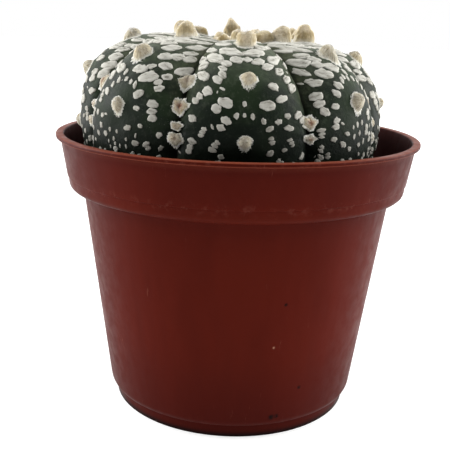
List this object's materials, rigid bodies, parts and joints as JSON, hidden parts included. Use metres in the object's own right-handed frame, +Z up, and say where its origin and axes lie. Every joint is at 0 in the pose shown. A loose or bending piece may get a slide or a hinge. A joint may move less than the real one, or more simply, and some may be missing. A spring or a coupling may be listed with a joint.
{
  "type": "potted star cactus",
  "caption": "Low ribbed globe cactus with white flecks and woolly areoles, standing in soil in a small round tapered nursery pot.",
  "frame": {"origin": "centre of the pot's foot, on the surface that the pot stands on", "axes": "+Z up along the pot's axis; -Y towards the plant's front rib"},
  "size_m": [0.065, 0.065, 0.0683],
  "materials": {
    "pot_plastic": "semi-matte moulded terracotta-red plastic",
    "potting_soil": "loose peat with grit",
    "stem_skin": "dark green waxy skin with raised off-white flecks",
    "wool": "cream to tan matted wool"
  },
  "bodies": {
    "root": {"pot": "pot_plastic", "soil": "potting_soil", "stem": "stem_skin", "crown_wool": "wool"}
  },
  "joints": []
}
